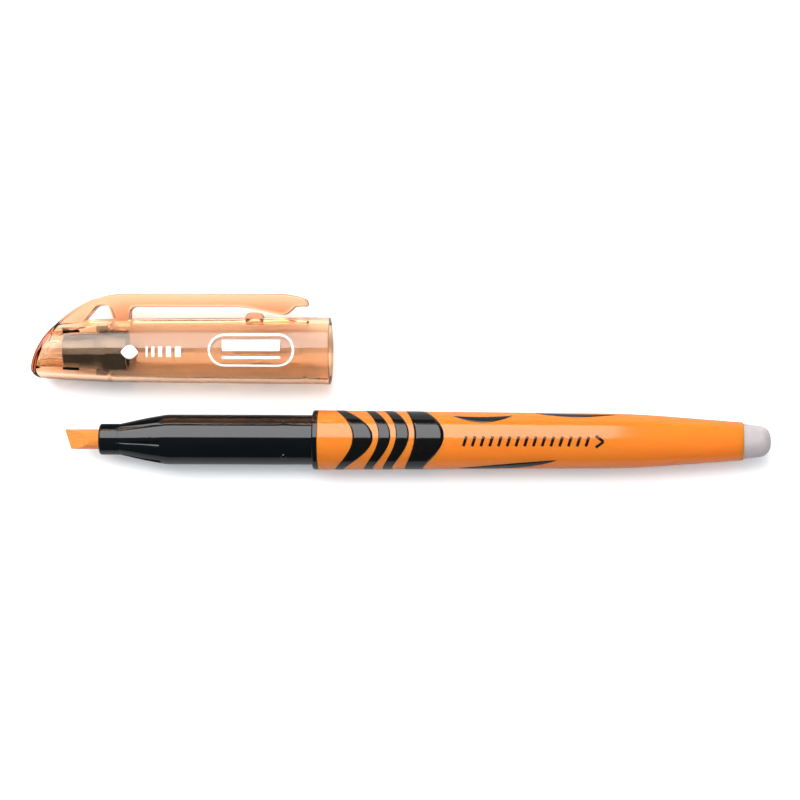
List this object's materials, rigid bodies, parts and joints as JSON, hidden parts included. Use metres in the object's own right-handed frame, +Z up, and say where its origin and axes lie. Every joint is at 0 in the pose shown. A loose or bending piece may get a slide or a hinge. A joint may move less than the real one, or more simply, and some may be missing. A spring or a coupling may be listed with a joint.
{
  "type": "highlighter pen",
  "caption": "Slim highlighter with a slanted chisel nib, fluted dark grip, tapered barrel and rounded eraser end, its clear clip cap lying beside it.",
  "frame": {"origin": "under the middle of the pen and the cap together, on the surface they lie on", "axes": "+X along the pen from its nib towards its eraser, +Y from the pen towards the cap, where the clip points too, +Z up from the surface"},
  "size_m": [0.1366, 0.0326, 0.0124],
  "materials": {
    "grip": "glossy black",
    "barrel": "glossy orange",
    "nib": "orange felt",
    "fibre": "ink-soaked fibre",
    "film": "clear film",
    "eraser": "translucent grey rubber",
    "cap": "tinted clear, glossy",
    "inner_cap": "dark olive"
  },
  "bodies": {
    "pen": {"grip_section": "grip", "barrel": "barrel", "nib": "nib", "ink_reservoir": "fibre", "reservoir_film": "film", "eraser": "eraser"},
    "cap": {"cap_shell": "cap", "inner_cap": "inner_cap"}
  },
  "joints": [
    {"name": "cap_slide", "type": "slide", "parent": "pen", "child": "cap", "axis": [-1, 0, 0], "range_m": [0, 0.052]}
  ]
}
